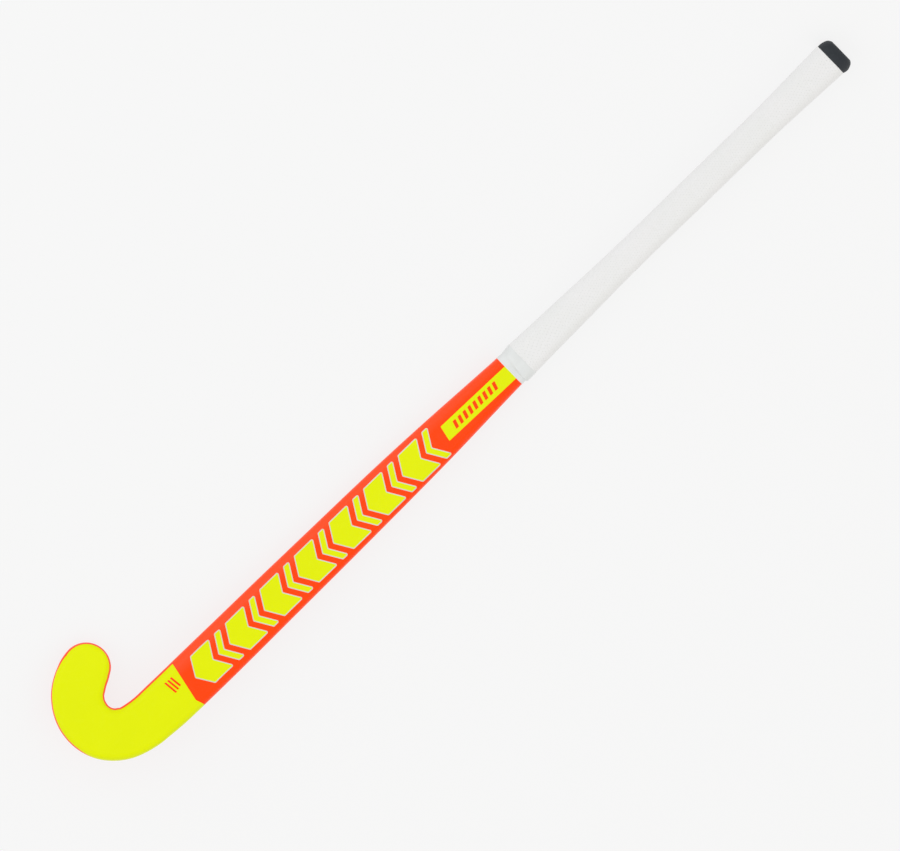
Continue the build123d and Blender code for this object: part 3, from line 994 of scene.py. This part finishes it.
def finishing_tape():
    first, last = TAPE_START + TAPE_LIP, TAPE_END - TAPE_LIP
    stations = spaced((TAPE_START, 1), (first, 60), (last, 1), (TAPE_END, 0))
    extra = np.full(len(stations), TAPE)
    extra[stations < TAPE_START + SECOND_TURN] = TAPE * FIRST_TURN
    extra[[0, -1]] = TAPE_EDGE
    outside = over_ramp(stations, GRIP, 0.0) + extra[:, None]
    inside = stations[::-1]
    under = np.maximum(over_ramp(inside, GRIP, -0.05), 0.005)
    tape = sleeve("finishing_tape_band", (stations, outside), (inside, under), tape_vinyl())
    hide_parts("finishing_tape")


# ---- Butt cap: rounded rubber end with a thin skirt under the grip ----
SKIRT_START = 884.0
SKIRT_EDGE = 0.06
# Station, growth over the handle, and lean towards the heel side
CAP_RIBS = [
    (CAP_START, 2.5, 0.3),
    (916.5, 2.85, 0.55),
    (919.0, 2.8, 0.8),
    (922.0, 2.0, 0.8),
    (924.3, 0.8, 0.85),
    (925.8, -0.8, 0.95),
    (BUTT, -2.5, 1.1),
]
CAP_STEPS = 30
# Share of the end face's size, and depth: a shallow moulded dish
CAP_DISH = [(0.97, 0.0), (0.8, 0.0), (0.76, -0.2), (0.7, -0.5), (0.66, -0.6), (0.3, -0.65)]


def end_cap():
    draft = Draft()
    stations, grows, leans = (np.array(column) for column in zip(*CAP_RIBS))
    curve = curvature_matrix(stations)
    along = np.linspace(0, 1, CAP_STEPS)
    along = CAP_START + (BUTT - 0.03 - CAP_START) * (1 - (1 - along) ** 1.6)
    skirt = np.linspace(SKIRT_START, CAP_START, 9)
    flare = np.interp(skirt, *zip(*sorted(SKIRT_FLARE.items())))
    inner = rings(draft, BUTT - np.array([HANDLE_END, SKIRT_START]), CLEARANCE)
    outer = rings(draft, BUTT - skirt, np.maximum(flare - CLEARANCE, SKIRT_EDGE))
    draft.bridge(inner[1], outer[0])
    draft.fan(inner[0], draft.add([ring_points(draft, inner[0]).mean(axis=0)]))
    growth = spline(stations, curve, grows, along)
    lean = spline(stations, curve, leans, along)
    count = len(ROUND)
    points = skin(np.repeat(BUTT - along, count), np.tile(ROUND, CAP_STEPS), np.repeat(growth, count))
    first = draft.add(points - MM * np.repeat(lean, count)[:, None] * TOEWARD)
    draft.grid(CAP_STEPS, count, first, closed=True)
    draft.bridge(outer[-1], range(first, first + count))
    last = first + (CAP_STEPS - 1) * count
    ring, edge = range(last, last + count), np.concatenate(draft.points)[last : last + count]
    centre = edge.mean(axis=0)
    for share, depth in CAP_DISH:
        start = draft.add(centre + (edge - centre) * share + depth * MM * HANDLE_AXIS)
        draft.bridge(ring, range(start, start + count))
        ring = range(start, start + count)
    draft.fan(ring, draft.add([centre + CAP_DISH[-1][1] * MM * HANDLE_AXIS]))
    cap = draft.piece("rubber_end_cap", cap_rubber())
    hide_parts("end_cap")


def spline(knots, curve, values, at):
    """Natural cubic spline through the values at the knots."""
    second = curve @ values
    i = np.clip(np.searchsorted(knots, at) - 1, 0, len(knots) - 2)
    gap = knots[i + 1] - knots[i]
    b = (at - knots[i]) / gap
    a = 1 - b
    bend = ((a**3 - a) * second[i] + (b**3 - b) * second[i + 1]) * gap**2 / 6
    return a * values[i] + b * values[i + 1] + bend


# ---- Inner pieces keep their CAD shapes ----
def dress_inner_pieces():
    foam, laminate = core_foam(), bare_laminate()
    looks = {
        "head_core": foam,
        "handle_plug": foam,
        "inner_tube_toe_side": laminate,
        "inner_tube_heel_side": laminate,
    }
    for name, material in looks.items():
        node = frame["nodes"][name]
        node.data.materials.clear()
        node.data.materials.append(material)
        node.data.polygons.foreach_set("material_index", [0] * len(node.data.polygons))


laminate_shell()
head_film()
shaft_graphic()
bar_and_dashes()
cushion_backing()
grip_wrap()
finishing_tape()
end_cap()
dress_inner_pieces()

# ---- Floor, light and camera ----
FLOOR_SIZE = 40.0
FLOOR_GAP = 0.0002
FLOOR_LINES = 29
VIEW_STATION = 442.0
VIEW_SIDE = 2.15
FRAME_WIDTH = 0.8061
LENS = 500.0
SENSOR = 36.0
STICK_SLANT = radians(44.15)
TILT = radians(6.38)
WORLD_STRENGTH = 0.86


def floor():
    draft = Draft()
    line = np.linspace(-FLOOR_SIZE / 2, FLOOR_SIZE / 2, FLOOR_LINES)
    x, y = (side.ravel() for side in np.meshgrid(line, line))
    draft.grid(FLOOR_LINES, FLOOR_LINES, draft.add(np.stack([x, y, np.full(x.size, -FLOOR_GAP)], axis=1)))
    mesh = bpy.data.meshes.new("studio_floor")
    mesh.from_pydata(np.concatenate(draft.points).tolist(), [], draft.faces)
    mesh.materials.append(studio_floor())
    sheet = bpy.data.objects.new("studio_floor", mesh)
    bpy.context.scene.collection.objects.link(sheet)


def soft_light(name, place, size, power, tint):
    """Large square area light that faces the stick."""
    light = bpy.data.lights.new(name, "AREA")
    light.shape = "SQUARE"
    light.size = size
    light.energy = power
    light.color = tint
    lamp = bpy.data.objects.new(name, light)
    lamp.location = place
    lamp.rotation_euler = (-Vector(place)).to_track_quat("-Z", "Y").to_euler()
    lamp.visible_camera = False
    bpy.context.scene.collection.objects.link(lamp)


def camera():
    chord = np.array([cos(TILT), 0, sin(TILT)]) @ AXES
    toeward = np.array([0, 1, 0]) @ AXES
    back = np.array([-sin(TILT), 0, cos(TILT)]) @ AXES
    right = cos(STICK_SLANT) * chord - sin(STICK_SLANT) * toeward
    up = sin(STICK_SLANT) * chord + cos(STICK_SLANT) * toeward
    aim = placed(bow_path(VIEW_STATION)[0] + np.array([0, VIEW_SIDE, 0]))
    place = aim + back * FRAME_WIDTH * LENS / SENSOR
    lens = bpy.data.cameras.new("photo_camera")
    lens.lens = LENS
    lens.sensor_width = SENSOR
    eye = bpy.data.objects.new("photo_camera", lens)
    eye.matrix_world = Matrix([[right[i], up[i], back[i], place[i]] for i in range(3)] + [[0, 0, 0, 1]])
    bpy.context.scene.collection.objects.link(eye)
    bpy.context.scene.camera = eye


floor()
camera()
soft_light("toe_side_softbox", (-0.9, 2.4, 2.4), 4.0, 39, (0.97, 0.99, 1.0))
soft_light("heel_side_softbox", (0.8, -2.6, 2.4), 3.0, 16, (1.0, 0.96, 0.8))
world = bpy.data.worlds.new("studio")
world.use_nodes = True
world.node_tree.nodes["Background"].inputs["Color"].default_value = (1, 1, 1, 1)
world.node_tree.nodes["Background"].inputs["Strength"].default_value = WORLD_STRENGTH
bpy.context.scene.world = world
bpy.context.scene.view_settings.view_transform = "Standard"
